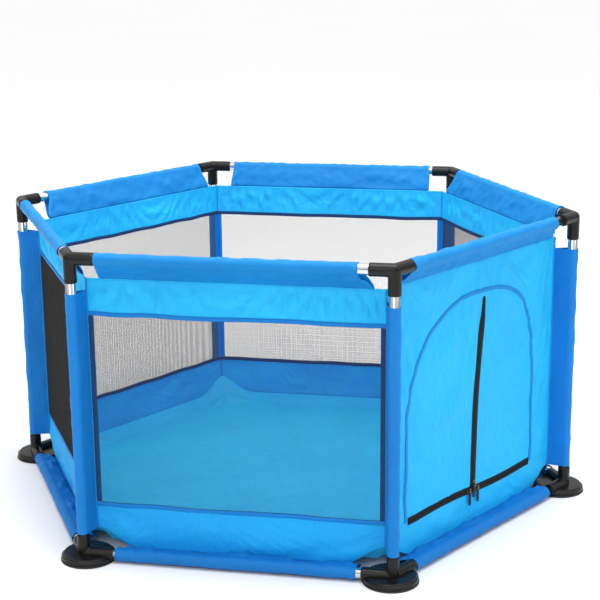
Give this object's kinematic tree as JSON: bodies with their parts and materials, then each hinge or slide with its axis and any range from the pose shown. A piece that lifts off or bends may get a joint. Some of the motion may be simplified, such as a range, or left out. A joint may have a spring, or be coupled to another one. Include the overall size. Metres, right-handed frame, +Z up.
{
  "type": "playpen",
  "caption": "Hexagonal fabric playpen on a steel tube frame with black corner fittings and suction-cup feet, mesh windows and an arched door with an upright and a bottom zip.",
  "frame": {"origin": "centre of the hexagon on the floor, under the middle of the floor panel", "axes": "+Z up; +X from the centre to the right-hand corner post; +Y to the middle of the back side, so the front side faces -Y and the door side faces +X turned 30 degrees towards -Y"},
  "size_m": [1.3902, 1.221, 0.6608],
  "materials": {
    "corner_plastic": "glossy moulded black",
    "cup_rubber": "soft black rubber",
    "tube_chrome": "bright plated tube",
    "cover_fabric": "plain woven polyester with a faint sheen",
    "window_mesh": "fine dark knitted net, see-through",
    "zip_tape": "black woven tape with a plastic coil",
    "zip_metal": "darkened cast metal"
  },
  "bodies": {
    "frame_and_cover": {"top_fitting_front_right": "corner_plastic", "top_fitting_right": "corner_plastic", "top_fitting_back_right": "corner_plastic", "top_fitting_back_left": "corner_plastic", "top_fitting_left": "corner_plastic", "top_fitting_front_left": "corner_plastic", "foot_fitting_front_right": "corner_plastic", "foot_fitting_right": "corner_plastic", "foot_fitting_back_right": "corner_plastic", "foot_fitting_back_left": "corner_plastic", "foot_fitting_left": "corner_plastic", "foot_fitting_front_left": "corner_plastic", "suction_cup_front_right": "cup_rubber", "suction_cup_right": "cup_rubber", "suction_cup_back_right": "cup_rubber", "suction_cup_back_left": "cup_rubber", "suction_cup_left": "cup_rubber", "suction_cup_front_left": "cup_rubber", "post_front_right": "tube_chrome", "post_right": "tube_chrome", "post_back_right": "tube_chrome", "post_back_left": "tube_chrome", "post_left": "tube_chrome", "post_front_left": "tube_chrome", "top_rail_front": "tube_chrome", "top_rail_door": "tube_chrome", "top_rail_back_right": "tube_chrome", "top_rail_back": "tube_chrome", "top_rail_back_left": "tube_chrome", "top_rail_front_left": "tube_chrome", "bottom_rail_front": "tube_chrome", "bottom_rail_door": "tube_chrome", "bottom_rail_back_right": "tube_chrome", "bottom_rail_back": "tube_chrome", "bottom_rail_back_left": "tube_chrome", "bottom_rail_front_left": "tube_chrome", "side_cover_front": "cover_fabric", "side_cover_door": "cover_fabric", "side_cover_back_right": "cover_fabric", "side_cover_back": "cover_fabric", "side_cover_back_left": "cover_fabric", "side_cover_front_left": "cover_fabric", "mesh_window_front": "window_mesh", "mesh_window_back_right": "window_mesh", "mesh_window_back": "window_mesh", "mesh_window_back_left": "window_mesh", "mesh_window_front_left": "window_mesh", "floor_panel": "cover_fabric", "sill_zip_tape": "zip_tape"},
    "left_flap": {"door_flap_left": "cover_fabric", "flap_zip_left": "zip_tape"},
    "right_flap": {"door_flap_right": "cover_fabric", "flap_zip_right": "zip_tape"},
    "upright_slider": {"upright_zip_slider": "zip_metal"},
    "upright_pull": {"upright_zip_pull": "zip_metal"},
    "left_slider": {"left_zip_slider": "zip_metal"},
    "left_pull": {"left_zip_pull": "zip_metal"},
    "right_slider": {"right_zip_slider": "zip_metal"},
    "right_pull": {"right_zip_pull": "zip_metal"}
  },
  "joints": [
    {"name": "left_flap_fold", "type": "hinge", "parent": "frame_and_cover", "child": "left_flap", "pos_m": [0.47132, -0.23748, 0.52], "axis": [0.2632, 0.4559, 0.8502], "range_deg": [0, 150]},
    {"name": "right_flap_fold", "type": "hinge", "parent": "frame_and_cover", "child": "right_flap", "pos_m": [0.47132, -0.23748, 0.52], "axis": [0.216, 0.3741, -0.9019], "range_deg": [0, 150]},
    {"name": "upright_zip_run", "type": "slide", "parent": "frame_and_cover", "child": "upright_slider", "axis": [0.035, 0.0606, 0.9976], "range_m": [0, 0.39]},
    {"name": "left_zip_run", "type": "slide", "parent": "frame_and_cover", "child": "left_slider", "axis": [-0.5, -0.866, 0], "range_m": [0, 0.2]},
    {"name": "right_zip_run", "type": "slide", "parent": "frame_and_cover", "child": "right_slider", "axis": [0.5, 0.866, 0], "range_m": [0, 0.2]},
    {"name": "upright_pull_swing", "type": "hinge", "parent": "upright_slider", "child": "upright_pull", "pos_m": [0.46246, -0.26583, 0.1065], "axis": [-0.4988, -0.8639, 0.0699], "range_deg": [0, 150]},
    {"name": "left_pull_swing", "type": "hinge", "parent": "left_slider", "child": "left_pull", "pos_m": [0.45428, -0.2796, 0.092], "axis": [-0.866, 0.5, 0], "range_deg": [0, 90]},
    {"name": "right_pull_swing", "type": "hinge", "parent": "right_slider", "child": "right_pull", "pos_m": [0.46928, -0.25362, 0.092], "axis": [0.866, -0.5, 0], "range_deg": [0, 90]}
  ]
}
